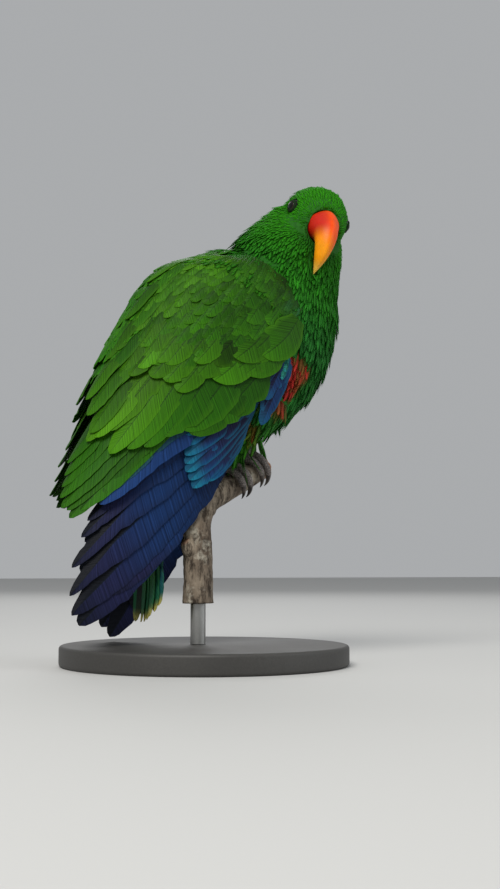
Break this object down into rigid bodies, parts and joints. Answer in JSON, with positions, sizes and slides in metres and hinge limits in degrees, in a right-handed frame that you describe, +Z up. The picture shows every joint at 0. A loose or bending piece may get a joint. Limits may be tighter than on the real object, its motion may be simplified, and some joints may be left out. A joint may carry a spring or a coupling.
{
  "type": "eclectus parrot model",
  "caption": "Life-size still model of a male eclectus parrot gripping a short cut branch, head turned to its right, on a plain round stand.",
  "frame": {"origin": "middle of the stand base's underside", "axes": "+Z up; +X the way the bird's body heads; +Y towards the bird's left"},
  "size_m": [0.1857, 0.17, 0.2999],
  "materials": {
    "plumage": "matte",
    "wing_feathers": "satin",
    "tail_feathers": "satin",
    "beak_orange": "gloss",
    "beak_black": "satin",
    "eye": "gloss",
    "foot_skin": "matte",
    "claw": "satin",
    "bark": "rough",
    "rod": "satin",
    "base": "matte"
  },
  "bodies": {
    "root": {"head": "plumage", "neck": "plumage", "torso": "plumage", "beak_upper": "beak_orange", "beak_lower": "beak_black", "eye_right": "eye", "eye_left": "eye", "wing_right": "wing_feathers", "wing_left": "wing_feathers", "tail": "tail_feathers", "thigh_right": "plumage", "thigh_left": "plumage", "foot_right": "foot_skin", "foot_left": "foot_skin", "claw_right_1": "claw", "claw_right_2": "claw", "claw_right_3": "claw", "claw_right_4": "claw", "claw_left_1": "claw", "claw_left_2": "claw", "claw_left_3": "claw", "claw_left_4": "claw", "perch": "bark", "stand_rod": "rod", "stand_base": "base"}
  },
  "joints": []
}
